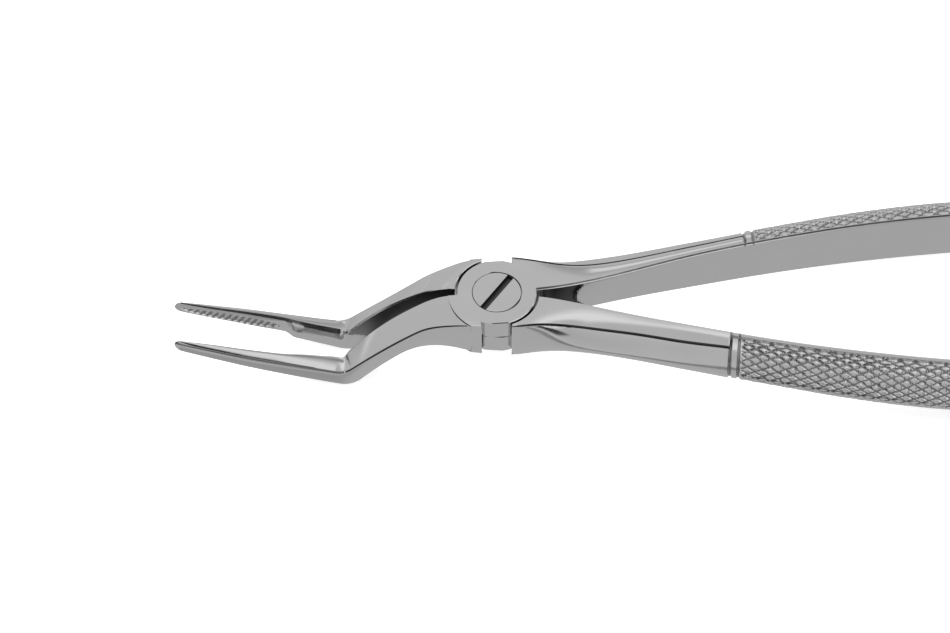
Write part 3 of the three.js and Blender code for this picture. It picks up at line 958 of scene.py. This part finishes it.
def build_world():
    """Studio seen by the steel: bands of light by the angle round the X axis, with patches over them."""
    world = bpy.data.worlds.new("studio")
    bpy.context.scene.world = world
    world.use_nodes = True
    tree = world.node_tree
    tree.nodes.clear()
    new, link = tree.nodes.new, tree.links.new
    coords = new("ShaderNodeTexCoord")
    split = new("ShaderNodeSeparateXYZ")
    link(coords.outputs["Generated"], split.inputs[0])
    x, y, z = split.outputs
    angle = math_node(tree, "ARCTAN2", math_node(tree, "MULTIPLY", y, -1.0), z)
    lean = math_node(tree, "MULTIPLY", math_node(tree, "MAXIMUM", x, 0.0), math.radians(38))
    overhead = step(tree, math_node(tree, "ABSOLUTE", angle), math.radians(70), math.radians(40))
    leaning = math_node(tree, "ADD", angle, both(tree, lean, overhead))
    turn = math_node(tree, "ADD", math_node(tree, "MULTIPLY", leaning, 1 / (2 * math.pi)), 0.5)

    ramp = new("ShaderNodeValToRGB")
    ramp.color_ramp.interpolation = "EASE"
    elements = ramp.color_ramp.elements
    while len(elements) < len(SKY_BY_ANGLE):
        elements.new(0.5)
    for element, (at, value) in zip(elements, SKY_BY_ANGLE):
        element.position = at / 360 + 0.5
        element.color = (value, value, value, 1)
    link(turn, ramp.inputs["Fac"])
    sky = ramp.outputs["Color"]

    def degrees(low, high):
        return step(tree, angle, math.radians(low), math.radians(high))

    # Patches of light and dark, each by the part of the steel that reflects it in the photo.
    front = step(tree, y, 0.0, -0.1)
    left_back = both(tree, step(tree, x, -0.1, -0.28), step(tree, y, 0.0, 0.25))
    shank_tops = both(tree, step(tree, x, -0.22, -0.4), step(tree, z, 0.05, 0.25))
    neck_strip = both(
        tree, step(tree, x, 0.04, -0.08), step(tree, x, -0.3, -0.18), step(tree, y, 0.78, 0.86),
        step(tree, z, 0.05, 0.2), step(tree, z, 0.5, 0.4),
    )
    beak_dark = both(tree, step(tree, x, 0.27, 0.33), degrees(6, -6), degrees(-30, -20))
    beak_light = both(tree, step(tree, x, 0.25, 0.31), degrees(4, 22), front)
    beyond = math_node(tree, "MAXIMUM", math_node(tree, "ADD", x, -0.27), 0.0)
    raised = math_node(tree, "ADD", z, math_node(tree, "MULTIPLY", beyond, 0.9))
    chamfer_dark = both(
        tree, step(tree, x, 0.03, 0.085), front, step(tree, raised, 0.72, 0.64),
        step(tree, z, 0.28, 0.4),
    )
    tips_dark = both(
        tree, step(tree, x, -0.55, -0.7), step(tree, y, -0.25, -0.4), step(tree, z, 0.55, 0.35),
    )
    for value, mask in (
        (0.85, left_back), (0.88, shank_tops), (1.3, neck_strip), (0.45, beak_dark), (1.35, beak_light),
        (0.03, chamfer_dark), (0.03, tips_dark),
    ):
        sky = blend(tree, sky, value, mask)

    seen = new("ShaderNodeLightPath")
    pale = blend(tree, sky, 0.95, seen.outputs["Is Camera Ray"])
    background = new("ShaderNodeBackground")
    link(pale, background.inputs["Strength"])
    out = new("ShaderNodeOutputWorld")
    link(background.outputs["Background"], out.inputs["Surface"])


build_world()

# Soft overhead light for the floor.
softbox = bpy.data.lights.new("softbox", "AREA")
softbox.shape = "RECTANGLE"
softbox.size, softbox.size_y = 1.6, 1.2
softbox.energy = 6
softbox_object = bpy.data.objects.new("softbox", softbox)
softbox_object.location = (0.02, 0.1, 1.1)
softbox_object.visible_glossy = False
bpy.context.scene.collection.objects.link(softbox_object)

# The camera looks along (0, 0.6, -0.8) from far off, so the view is nearly parallel.
IMAGE_WIDTH_PX = 950
PX_PER_MM = 5.44
DISTANCE = 4.0
TO_CAMERA = Vector((0, -0.6, 0.8))
VIEW_RIGHT = Vector((1, 0, 0))
VIEW_UP = Vector((0, 0.8, 0.6))
AIM_RIGHT = -4.0
AIM_UP = -4.5
SENSOR = 36.0

camera_data = bpy.data.cameras.new("camera")
camera = bpy.data.objects.new("camera", camera_data)
bpy.context.scene.collection.objects.link(camera)
joint_front = Vector((0, 0, 2 * HALF_JOINT * MM))
target = joint_front + VIEW_RIGHT * (AIM_RIGHT * MM) + VIEW_UP * (AIM_UP * MM)
camera.location = target + TO_CAMERA * DISTANCE
camera.matrix_world = Matrix.Translation(camera.location) @ Matrix((
    (VIEW_RIGHT.x, VIEW_UP.x, TO_CAMERA.x, 0),
    (VIEW_RIGHT.y, VIEW_UP.y, TO_CAMERA.y, 0),
    (VIEW_RIGHT.z, VIEW_UP.z, TO_CAMERA.z, 0),
    (0, 0, 0, 1),
))
camera_data.sensor_width = SENSOR
view_width = IMAGE_WIDTH_PX / PX_PER_MM * MM
camera_data.lens = SENSOR * DISTANCE / view_width
camera_data.clip_start = 0.05
camera_data.clip_end = 20
bpy.context.scene.camera = camera
bpy.context.scene.view_settings.view_transform = "Standard"
